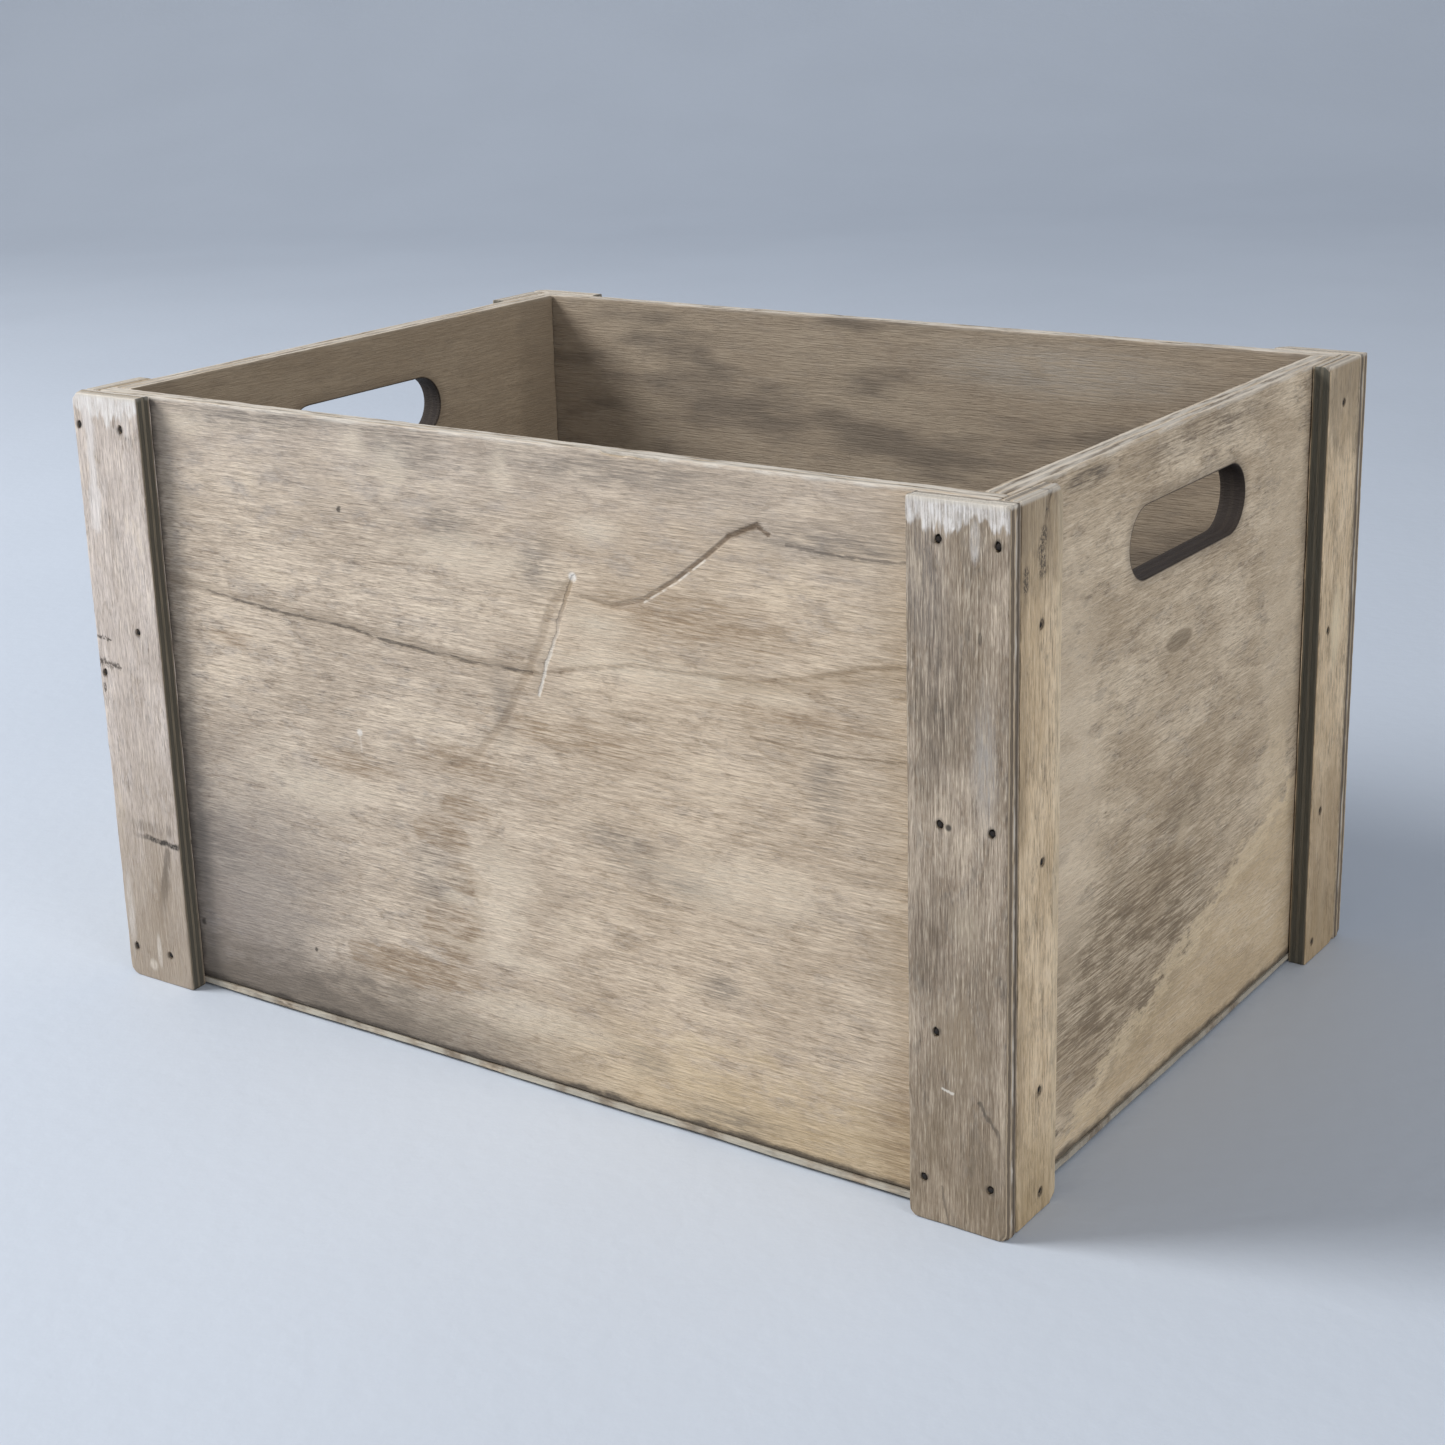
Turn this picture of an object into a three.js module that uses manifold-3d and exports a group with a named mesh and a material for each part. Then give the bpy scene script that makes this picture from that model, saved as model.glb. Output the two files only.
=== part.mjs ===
// A nailed plywood orchard crate: two long panels, two end panels with a hand slot, a thin floor
// sheet, eight corner battens and the nails that hold them. Millimetres, +Z up. The origin is on
// the ground at the middle of the crate; the long sides run along X and the ends face +X and -X.

import * as THREE from "three";
import { mergeVertices } from "three/addons/utils/BufferGeometryUtils.js";
import Module from "manifold-3d";

// Outside size of the whole crate.
const LENGTH = 500;
const WIDTH = 357;
const HEIGHT = 298.5;

// Sheet and batten thicknesses. GAP is the fitting gap left between pieces that touch.
const GAP = 0.3;
const BATTEN_T = 9;
const LONG_PANEL_T = 9;
const END_PANEL_T = 12;
const FLOOR_T = 3;

// A wide batten covers each end of a long side. A narrow batten stands behind it on the end face.
const WIDE_BATTEN_W = 44;
const NARROW_BATTEN_W = { front: 33.5, rear: 37.5 };

// The floor sheet hangs just clear of the ground, and the four panels stand on it.
const FLOOR_Z = 1.5;
const PANEL_Z = FLOOR_Z + FLOOR_T + GAP;

// Hand slot: a stadium cut through both end panels, centred across the end.
const SLOT_L = 116;
const SLOT_H = 31;
const SLOT_Z = 254;
const SLOT_CORNER_R = 14.5;
const SLOT_ARC_STEPS = 8;

// Wire nails with a small flat head, driven slightly below the surface.
const NAIL_SIDES = 8;
const NAIL_HEAD_R = 1.4;
const NAIL_HEAD_T = 0.9;
const NAIL_SHANK_R = 0.75;
const NAIL_POINT_L = 2;
const NAIL_SUNK = 0.6;
const FLOOR_NAIL_SUNK = 0.3;
const SIDE_NAIL_L = 15;
const FLOOR_NAIL_L = 14;
// A hole's corners, not its flats, lie on its radius, so it needs a little more to clear the nail.
const HOLE_R_SPARE = 0.4;

// Nails in each batten: distance in from the crate's outer corner, and height above the ground.
const NAILS = {
  wide: {
    front_right: [[30, 283], [5, 283], [29.5, 171], [7, 171.5], [31.3, 84], [37, 19], [7, 21.6]],
    front_left: [[3.5, 283], [31.7, 283], [30, 184], [3.5, 160], [6, 16], [30, 16]],
    rear_right: [[5, 281], [31, 284], [30, 168], [6, 174], [29, 20], [6, 17]],
    rear_left: [[5, 284], [30, 280], [32, 176], [6, 165], [31, 18], [5, 20]],
  },
  narrow: {
    front_right: [[25.5, 248], [28.5, 152], [27.9, 55], [29.8, 9.5]],
    rear_right: [[28.5, 279], [35.5, 170], [35.5, 78], [38.5, 10]],
    front_left: [[27, 270], [29, 158], [26, 66], [29, 11]],
    rear_left: [[28, 274], [33, 163], [35, 71], [31, 12]],
  },
};

// Floor nails under the long panels' bottom edges, by their place along X.
const FLOOR_NAIL_X = [-190, 0, 190];

// Weathered wood, from the palest panels to the darkest battens, and rusted steel.
const LONG_PANEL_COLOR = 0xb3a48d;
const END_PANEL_COLOR = 0xa8967c;
const FLOOR_COLOR = 0x9a8c78;
const NARROW_BATTEN_COLOR = 0x9c8b72;
const WIDE_BATTEN_COLOR = 0x8c8070;
const STEEL_COLOR = 0x3b3733;

// Corners closer together than this are one corner.
const MERGE_TOLERANCE = 1e-4;

const HALF_L = LENGTH / 2;
const HALF_W = WIDTH / 2;
const SHEET_HALF_L = HALF_L - BATTEN_T - GAP;
const SHEET_HALF_W = HALF_W - BATTEN_T - GAP;

const CORNERS = [
  { name: "front_right", sx: 1, sy: -1 },
  { name: "front_left", sx: -1, sy: -1 },
  { name: "rear_right", sx: 1, sy: 1 },
  { name: "rear_left", sx: -1, sy: 1 },
];

const SIDE_AXES = {
  front: new THREE.Vector3(0, 1, 0),
  rear: new THREE.Vector3(0, -1, 0),
  right: new THREE.Vector3(-1, 0, 0),
  left: new THREE.Vector3(1, 0, 0),
  under: new THREE.Vector3(0, 0, 1),
};

const wasm = await Module();
wasm.setup();

const wood = (color) => new THREE.MeshStandardMaterial({ color, roughness: 0.85, metalness: 0 });
const steel = () => new THREE.MeshStandardMaterial({ color: STEEL_COLOR, roughness: 0.6, metalness: 0.8 });

const crate = new THREE.Group();

// ---- Solids ----

function toSolid(geometry) {
  const bare = geometry.clone();
  bare.deleteAttribute("normal");
  bare.deleteAttribute("uv");
  const merged = mergeVertices(bare, MERGE_TOLERANCE);
  const vertProperties = new Float32Array(merged.attributes.position.array);
  const triVerts = new Uint32Array(merged.index.array);
  return new wasm.Manifold(new wasm.Mesh({ numProp: 3, vertProperties, triVerts }));
}

function toGeometry(solid) {
  const mesh = solid.getMesh();
  const geometry = new THREE.BufferGeometry();
  geometry.setAttribute("position", new THREE.BufferAttribute(new Float32Array(mesh.vertProperties), 3));
  geometry.setIndex(new THREE.BufferAttribute(new Uint32Array(mesh.triVerts), 1));
  geometry.computeVertexNormals();
  return geometry;
}

// A box between two opposite corners, in the crate's own frame.
function block(low, high) {
  const size = high.map((value, i) => value - low[i]);
  const geometry = new THREE.BoxGeometry(...size);
  geometry.translate(...low.map((value, i) => (value + high[i]) / 2));
  return geometry;
}

// ---- Nails ----

// A nail is given by the middle of its head's outer face and the direction in which it was driven.
// Its profile runs along +Y from the head to the point.
function nailProfile(length, spare) {
  const head = NAIL_HEAD_R + spare;
  const shank = NAIL_SHANK_R + spare;
  const mouth = spare > 0 ? -NAIL_SUNK - GAP : 0;
  return [
    new THREE.Vector2(0, mouth),
    new THREE.Vector2(head, mouth),
    new THREE.Vector2(head, NAIL_HEAD_T + spare),
    new THREE.Vector2(shank, NAIL_HEAD_T + spare),
    new THREE.Vector2(shank, length - NAIL_POINT_L + spare),
    new THREE.Vector2(0, length + spare),
  ];
}

// Turns the profile about the nail's own axis.
function turned(length, spare) {
  return new THREE.LatheGeometry(nailProfile(length, spare), NAIL_SIDES);
}

function drivenAlong(axis) {
  return new THREE.Quaternion().setFromUnitVectors(new THREE.Vector3(0, 1, 0), axis);
}

function nailHole(nail) {
  const geometry = turned(nail.length, HOLE_R_SPARE);
  geometry.applyQuaternion(drivenAlong(nail.axis));
  geometry.translate(nail.at.x, nail.at.y, nail.at.z);
  return toSolid(geometry);
}

function addNail(nail) {
  const mesh = new THREE.Mesh(turned(nail.length, 0), steel());
  mesh.name = nail.name;
  mesh.position.copy(nail.at);
  mesh.quaternion.copy(drivenAlong(nail.axis));
  crate.add(mesh);
}

function wideBattenNails({ name, sx, sy }) {
  const axis = SIDE_AXES[sy < 0 ? "front" : "rear"];
  return NAILS.wide[name].map(([inward, z], i) => ({
    name: `nail_${name}_side_${i + 1}`,
    at: new THREE.Vector3(sx * (HALF_L - inward), sy * (HALF_W - NAIL_SUNK), z),
    axis,
    length: SIDE_NAIL_L,
  }));
}

function narrowBattenNails({ name, sx, sy }) {
  const axis = SIDE_AXES[sx > 0 ? "right" : "left"];
  return NAILS.narrow[name].map(([inward, z], i) => ({
    name: `nail_${name}_end_${i + 1}`,
    at: new THREE.Vector3(sx * (HALF_L - NAIL_SUNK), sy * (HALF_W - inward), z),
    axis,
    length: SIDE_NAIL_L,
  }));
}

function floorNails() {
  const y = SHEET_HALF_W - LONG_PANEL_T / 2;
  return [-1, 1].flatMap((sy) => FLOOR_NAIL_X.map((x, i) => ({
    name: `nail_floor_${sy < 0 ? "front" : "rear"}_${i + 1}`,
    at: new THREE.Vector3(x, sy * y, FLOOR_Z + FLOOR_NAIL_SUNK),
    axis: SIDE_AXES.under,
    length: FLOOR_NAIL_L,
  })));
}

const nails = [
  ...CORNERS.flatMap(wideBattenNails),
  ...CORNERS.flatMap(narrowBattenNails),
  ...floorNails(),
];

// ---- Wood ----

// Cuts the hole of every nail that meets this piece, and adds it to the crate.
function addWood(name, geometry, color) {
  geometry.computeBoundingBox();
  const reach = geometry.boundingBox;
  let solid = toSolid(geometry);
  for (const nail of nails) {
    const point = nail.at.clone().addScaledVector(nail.axis, nail.length);
    const span = new THREE.Box3().setFromPoints([nail.at, point]).expandByScalar(NAIL_HEAD_R + GAP);
    if (span.intersectsBox(reach)) {
      solid = solid.subtract(nailHole(nail));
    }
  }
  const mesh = new THREE.Mesh(toGeometry(solid), wood(color));
  mesh.name = name;
  crate.add(mesh);
}

function addWideBatten({ name, sx, sy }) {
  const outer = [sx * HALF_L, sy * HALF_W, HEIGHT];
  const inner = [sx * (HALF_L - WIDE_BATTEN_W), sy * (HALF_W - BATTEN_T), 0];
  const low = outer.map((value, i) => Math.min(value, inner[i]));
  const high = outer.map((value, i) => Math.max(value, inner[i]));
  addWood(`wide_batten_${name}`, block(low, high), WIDE_BATTEN_COLOR);
}

function addNarrowBatten({ name, sx, sy }) {
  const width = NARROW_BATTEN_W[sy < 0 ? "front" : "rear"];
  const edge = HALF_W - BATTEN_T - GAP;
  const outer = [sx * HALF_L, sy * edge, HEIGHT];
  const inner = [sx * (HALF_L - BATTEN_T), sy * (edge - width), 0];
  const low = outer.map((value, i) => Math.min(value, inner[i]));
  const high = outer.map((value, i) => Math.max(value, inner[i]));
  addWood(`narrow_batten_${name}`, block(low, high), NARROW_BATTEN_COLOR);
}

// The long panels run through from end to end of the carcase and lap the end panels.
function addLongPanel(name, sy) {
  const outside = sy * SHEET_HALF_W;
  const inside = sy * (SHEET_HALF_W - LONG_PANEL_T);
  const low = [-SHEET_HALF_L, Math.min(outside, inside), PANEL_Z];
  const high = [SHEET_HALF_L, Math.max(outside, inside), HEIGHT];
  addWood(name, block(low, high), LONG_PANEL_COLOR);
}

// Outline of the hand slot in the end panel's own plane, rounded at its four corners.
function slotOutline() {
  const x = SLOT_L / 2 - SLOT_CORNER_R;
  const y = SLOT_H / 2 - SLOT_CORNER_R;
  const outline = new THREE.Path();
  outline.absarc(x, y, SLOT_CORNER_R, 0, Math.PI / 2);
  outline.absarc(-x, y, SLOT_CORNER_R, Math.PI / 2, Math.PI);
  outline.absarc(-x, -y, SLOT_CORNER_R, Math.PI, 1.5 * Math.PI);
  outline.absarc(x, -y, SLOT_CORNER_R, 1.5 * Math.PI, 2 * Math.PI);
  outline.closePath();
  return outline;
}

// An end panel fits between the two long panels. It is drawn upright in the plane of the end, with
// its slot, and extruded through its thickness.
function addEndPanel(name, sx) {
  const halfY = SHEET_HALF_W - LONG_PANEL_T - GAP;
  const sheet = new THREE.Shape();
  sheet.moveTo(-halfY, PANEL_Z - SLOT_Z);
  sheet.lineTo(halfY, PANEL_Z - SLOT_Z);
  sheet.lineTo(halfY, HEIGHT - SLOT_Z);
  sheet.lineTo(-halfY, HEIGHT - SLOT_Z);
  sheet.closePath();
  sheet.holes.push(slotOutline());
  const geometry = new THREE.ExtrudeGeometry(sheet, {
    depth: END_PANEL_T,
    bevelEnabled: false,
    curveSegments: SLOT_ARC_STEPS,
  });
  geometry.rotateX(Math.PI / 2);
  geometry.rotateZ(Math.PI / 2);
  const outside = sx > 0 ? SHEET_HALF_L - END_PANEL_T : -SHEET_HALF_L;
  geometry.translate(outside, 0, SLOT_Z);
  addWood(name, geometry, END_PANEL_COLOR);
}

function addFloor() {
  const low = [-SHEET_HALF_L, -SHEET_HALF_W, FLOOR_Z];
  const high = [SHEET_HALF_L, SHEET_HALF_W, FLOOR_Z + FLOOR_T];
  addWood("floor_panel", block(low, high), FLOOR_COLOR);
}

addLongPanel("front_panel", -1);
addLongPanel("rear_panel", 1);
addEndPanel("left_end_panel", -1);
addEndPanel("right_end_panel", 1);
addFloor();
CORNERS.forEach(addWideBatten);
CORNERS.forEach(addNarrowBatten);
nails.forEach(addNail);

export default crate;
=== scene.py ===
import math

import bpy
import numpy as np
from mathutils import Matrix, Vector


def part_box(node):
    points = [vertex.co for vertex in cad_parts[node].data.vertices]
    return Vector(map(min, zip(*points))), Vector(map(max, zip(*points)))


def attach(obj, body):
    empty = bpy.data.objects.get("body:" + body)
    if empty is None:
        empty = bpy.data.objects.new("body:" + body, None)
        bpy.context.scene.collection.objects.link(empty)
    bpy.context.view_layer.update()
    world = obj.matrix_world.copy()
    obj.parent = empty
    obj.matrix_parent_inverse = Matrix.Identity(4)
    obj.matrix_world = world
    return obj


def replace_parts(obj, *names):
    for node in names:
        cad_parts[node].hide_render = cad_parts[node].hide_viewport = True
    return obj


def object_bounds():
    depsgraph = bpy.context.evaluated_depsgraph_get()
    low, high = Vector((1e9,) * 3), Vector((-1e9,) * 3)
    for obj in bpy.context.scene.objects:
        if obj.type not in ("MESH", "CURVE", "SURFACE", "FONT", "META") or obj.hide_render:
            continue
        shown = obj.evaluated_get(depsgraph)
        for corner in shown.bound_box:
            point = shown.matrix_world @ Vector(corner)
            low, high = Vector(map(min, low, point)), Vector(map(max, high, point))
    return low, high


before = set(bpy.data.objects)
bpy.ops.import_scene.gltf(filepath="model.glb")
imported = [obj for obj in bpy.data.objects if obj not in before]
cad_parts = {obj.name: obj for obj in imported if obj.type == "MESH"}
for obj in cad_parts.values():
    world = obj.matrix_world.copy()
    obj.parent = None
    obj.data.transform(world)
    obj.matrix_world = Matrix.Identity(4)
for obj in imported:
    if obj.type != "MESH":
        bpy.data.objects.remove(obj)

cad_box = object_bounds()

# ---- Camera ----
# Stands in front of the right-hand corner, about half a metre up, and looks slightly down into the
# crate. It leans a little to one side, as a hand-held camera does.

CAMERA_PLACE = (0.6532, -0.9343, 0.5036)
CAMERA_TURN = 35.2
CAMERA_DOWN = 16.76
CAMERA_LEAN = -1.69
LENS_MM = 60.6

view = bpy.data.cameras.new("camera")
view.lens = LENS_MM
view.sensor_width = 36
view.shift_x = 0.0028
view.shift_y = -0.0492
camera = bpy.data.objects.new("camera", view)
bpy.context.collection.objects.link(camera)
turn = Matrix.Rotation(math.radians(CAMERA_TURN), 4, "Z")
tilt = Matrix.Rotation(math.radians(90 - CAMERA_DOWN), 4, "X")
lean = Matrix.Rotation(math.radians(CAMERA_LEAN), 4, "Z")
camera.matrix_world = Matrix.Translation(CAMERA_PLACE) @ turn @ tilt @ lean
bpy.context.scene.camera = camera


# ---- Floor, backdrop and light ----
# A plain pale floor that sweeps up into a backdrop far behind, under soft light: a broad lamp high
# on the left, a weaker one on the right and an even pale surround.

class Wire:
    """A shader socket that can be added, multiplied and compared like a number."""

    def __init__(self, finish, socket):
        self.finish = finish
        self.socket = socket

    def math(self, operation, *others):
        return self.finish.node("Math", {"operation": operation}, dict(enumerate((self, *others))))

    def __add__(self, other):
        return self.math("ADD", other)

    def __sub__(self, other):
        return self.math("SUBTRACT", other)

    def __rsub__(self, other):
        return self.finish.node("Math", {"operation": "SUBTRACT"}, {0: other, 1: self})

    def __mul__(self, other):
        return self.math("MULTIPLY", other)

    def __truediv__(self, other):
        return self.math("DIVIDE", other)

    __radd__ = __add__
    __rmul__ = __mul__

    def ramp(self, low, high):
        """0 at low and 1 at high, with a soft start and stop. low may be the greater."""
        return self.finish.node(
            "MapRange",
            {"interpolation_type": "SMOOTHSTEP"},
            {"Value": self, "From Min": low, "From Max": high},
        )


class Finish:
    """The node tree of one material, with the colour and height built up so far."""

    def __init__(self, name):
        self.material = bpy.data.materials.new(name)
        self.material.use_nodes = True
        self.tree = self.material.node_tree
        self.surface = self.tree.nodes["Principled BSDF"]
        self.colour = None
        self.height = None

    def node(self, kind, settings=None, sockets=None, output=0):
        made = self.tree.nodes.new("ShaderNode" + kind)
        for name, value in (settings or {}).items():
            setattr(made, name, value)
        for name, value in (sockets or {}).items():
            if isinstance(value, Wire):
                self.tree.links.new(value.socket, made.inputs[name])
            else:
                made.inputs[name].default_value = value
        return Wire(self, made.outputs[output])

    def blend(self, mask, under, over):
        return self.node("Mix", {"data_type": "RGBA"}, {0: mask, 6: under, 7: over}, output=2)

    def tint(self, mask, colour):
        """Lays a colour over what is there, as strongly as mask says."""
        self.colour = self.blend(mask, self.colour, colour)

    def noise(self, u, v, w, size, detail=3.0, rough=0.5):
        """Random values round 0.5 that change over size = (along u, along v) millimetres."""
        place = self.node("CombineXYZ", {}, {"X": u / size[0], "Y": v / size[1], "Z": w})
        sockets = {"Vector": place, "Scale": 1.0, "Detail": detail, "Roughness": rough}
        return self.node("TexNoise", {}, sockets)

    def finished(self, rough, bump_mm=0.0):
        """Connects colour, roughness and height to the surface and returns the material."""
        self.tree.links.new(self.colour.socket, self.surface.inputs["Base Color"])
        if isinstance(rough, Wire):
            self.tree.links.new(rough.socket, self.surface.inputs["Roughness"])
        else:
            self.surface.inputs["Roughness"].default_value = rough
        if bump_mm:
            bump = self.node("Bump", {}, {"Height": self.height, "Distance": bump_mm / 1000})
            bump = Wire(self, bump.socket)
            self.tree.links.new(bump.socket, self.surface.inputs["Normal"])
        return self.material


def paint(red, green, blue):
    """A colour as mixed on a colour card, 0 to 255, in the linear values that shaders take."""
    shares = (value / 255 for value in (red, green, blue))
    return (*(s / 12.92 if s <= 0.04045 else ((s + 0.055) / 1.055) ** 2.4 for s in shares), 1.0)


def add_mesh(name, points, faces, material):
    mesh = bpy.data.meshes.new(name)
    mesh.from_pydata(points.tolist(), [], faces.tolist() if hasattr(faces, "tolist") else faces)
    mesh.materials.append(material)
    made = bpy.data.objects.new(name, mesh)
    bpy.context.collection.objects.link(made)
    return made


def floor_finish():
    floor = Finish("floor_paint")
    place = floor.node("TexCoord", output=3)
    cloud = floor.node("TexNoise", {}, {"Vector": place, "Scale": 3.0, "Detail": 4.0})
    floor.colour = floor.blend(cloud.ramp(0.3, 0.7), paint(195, 204, 217), paint(198, 207, 220))
    floor.height = floor.node("TexNoise", {}, {"Vector": place, "Scale": 90.0, "Detail": 3.0})
    return floor.finished(0.55, bump_mm=0.4)


FLOOR_HALF = 6.0
SWEEP_START = 3.0
SWEEP_RADIUS = 2.5
SWEEP_STEPS = 24
sweep = [(SWEEP_START + SWEEP_RADIUS * math.sin(a), SWEEP_RADIUS * (1 - math.cos(a)))
         for a in np.linspace(0, math.pi / 2, SWEEP_STEPS)]
outline = [(-FLOOR_HALF, 0.0), *sweep, (SWEEP_START + SWEEP_RADIUS, 2 * FLOOR_HALF)]
points = np.array([(x, y, z) for x in (-FLOOR_HALF, FLOOR_HALF) for y, z in outline])
count = len(outline)
faces = [(i, i + count, i + count + 1, i + 1) for i in range(count - 1)]
ground = add_mesh("studio_floor", points, faces, floor_finish())
ground.data.shade_smooth()
ground.matrix_world = Matrix.Rotation(math.radians(CAMERA_TURN), 4, "Z")


def add_lamp(name, place, aim, size, watts, colour):
    light = bpy.data.lights.new(name, "AREA")
    light.shape = "DISK"
    light.size = size
    light.energy = watts
    light.color = colour
    lamp = bpy.data.objects.new(name, light)
    bpy.context.collection.objects.link(lamp)
    direction = Matrix.Translation(aim).to_translation() - Matrix.Translation(place).to_translation()
    lamp.matrix_world = Matrix.Translation(place) @ direction.to_track_quat("-Z", "Y").to_matrix().to_4x4()


MIDDLE = (0.0, 0.0, 0.12)
add_lamp("window_left", (-2.4, -1.5, 2.2), MIDDLE, 1.6, 124, (1.0, 0.985, 0.96))
add_lamp("fill_right", (4.6, -1.5, 1.7), MIDDLE, 2.4, 68, (1.0, 0.95, 0.89))
surround = bpy.data.worlds.new("surround")
surround.use_nodes = True
surround.node_tree.nodes["Background"].inputs["Color"].default_value = (0.92, 0.95, 1.0, 1.0)
surround.node_tree.nodes["Background"].inputs["Strength"].default_value = 0.45
bpy.context.scene.world = surround
bpy.context.scene.view_settings.view_transform = "Standard"


# ---- Long panels ----
# Two sheets of 9 mm plywood with the face grain lying along the crate, sawn to size and nailed over
# the ends of the end panels. Years outdoors have greyed them, opened fine checks along the grain
# and worn the rim pale.

MM = 0.001
BOARD_STEP = 2.2
EDGE_CUTS = (0.0, 0.25, 0.6, 1.1, 1.8, 2.8)
PLY_COUNT = 5


def drift(points, size, seed):
    """Smooth random values from -1 to 1 that change over about size millimetres."""
    cell = points.T / size + seed * 17.31
    base = np.floor(cell).astype(np.int64)
    part = cell - base
    part = part * part * (3 - 2 * part)
    shares = (1 - part, part)
    total = np.zeros(len(points))
    for i, j, k in np.ndindex(2, 2, 2):
        mixed = ((base[0] + i) * 73856093) ^ ((base[1] + j) * 19349663) ^ ((base[2] + k) * 83492791)
        mixed = ((mixed ^ (mixed >> 13)) * 1274126177) >> 8
        total += shares[i][0] * shares[j][1] * shares[k][2] * ((mixed & 0xFFFF) / 0x7FFF - 1)
    return total


def cut_lines(low, high, step):
    """Places from low to high where a side is cut: close together at both ends, step apart between."""
    if high - low < 4 * EDGE_CUTS[-1]:
        return np.linspace(low, high, max(7, round((high - low) / 0.75) + 1))
    reach = EDGE_CUTS[-1]
    middle = np.linspace(low + reach, high - reach, max(2, round((high - low - 2 * reach) / step) + 1))
    start = low + np.array(EDGE_CUTS[:-1])
    stop = high - np.array(EDGE_CUTS[:-1])[::-1]
    return np.concatenate([start, middle, stop])


def sheet_surface(cuts):
    """Points and four-sided faces of a box's whole surface, cut at these places on each axis."""
    quads = []
    for axis in range(3):
        u, v = (a for a in range(3) if a != axis)
        for end in (0, len(cuts[axis]) - 1):
            iu, iv = np.meshgrid(range(len(cuts[u]) - 1), range(len(cuts[v]) - 1), indexing="ij")
            ring = []
            for du, dv in ((0, 0), (1, 0), (1, 1), (0, 1)):
                index = np.zeros((*iu.shape, 3), int)
                index[..., axis] = end
                index[..., u] = iu + du
                index[..., v] = iv + dv
                ring.append(index.reshape(-1, 3))
            if (end == 0) != (axis == 1):
                ring.reverse()
            quads.append(np.stack(ring, axis=1))
    counts = [len(c) for c in cuts]
    keys = np.ravel_multi_index(np.concatenate(quads).reshape(-1, 3).T, counts)
    used, corners = np.unique(keys, return_inverse=True)
    index = np.unravel_index(used, counts)
    return np.stack([cuts[a][index[a]] for a in range(3)], axis=1), corners.reshape(-1, 4)


def worn_board(node, material, seed, wear=0.8, shape=None, cutter=None, step=BOARD_STEP):
    """The CAD board as weathered wood: edges rounded unevenly, faces slightly wavy, plies showing as
    ridges along the sawn edges. shape moves points further, and cutter is taken out of the wood."""
    low, high = (np.array(corner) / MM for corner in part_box(node))
    step = step
    points, faces = sheet_surface([cut_lines(low[a], high[a], step) for a in range(3)])
    thin = int(np.argmin(high - low))
    thickness = (high - low)[thin]
    reach = wear * (1 + 0.5 * drift(points, 14, seed) + 0.35 * drift(points, 3.5, seed + 1))
    reach = np.clip(reach, 0.2, 0.45 * thickness)[:, None]
    core = np.clip(points, low + reach, high - reach)
    out = points - core
    out /= np.linalg.norm(out, axis=1)[:, None]
    depth = points[:, thin] - low[thin]
    points = core + out * reach
    sawn = 1 - np.abs(out[:, thin])
    ridges = 0.5 - 0.5 * np.cos(2 * math.pi * depth / thickness * PLY_COUNT)
    ragged = 0.5 + 0.5 * drift(points, 6, seed + 2)
    sink = sawn * (0.22 * ridges * ragged + 0.16 * drift(points, 2.4, seed + 3))
    sink += 0.14 * (1 + drift(points, 38, seed + 4))
    points = points - out * sink[:, None]
    if shape:
        points = shape(points)
    piece = add_mesh(node + "_wood", points * MM, faces, material)
    if cutter:
        cut = piece.modifiers.new("holes", "BOOLEAN")
        cut.object = cutter
        cut.operation = "DIFFERENCE"
        cut.solver = "MANIFOLD"
        ready = piece.evaluated_get(bpy.context.evaluated_depsgraph_get())
        mesh = bpy.data.meshes.new_from_object(ready)
        piece.modifiers.clear()
        piece.data = mesh
        bpy.data.objects.remove(cutter)
    piece.data.shade_smooth()
    piece.data.set_sharp_from_angle(angle=math.radians(40))
    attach(piece, "root")
    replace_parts(piece, node)
    return piece


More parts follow.
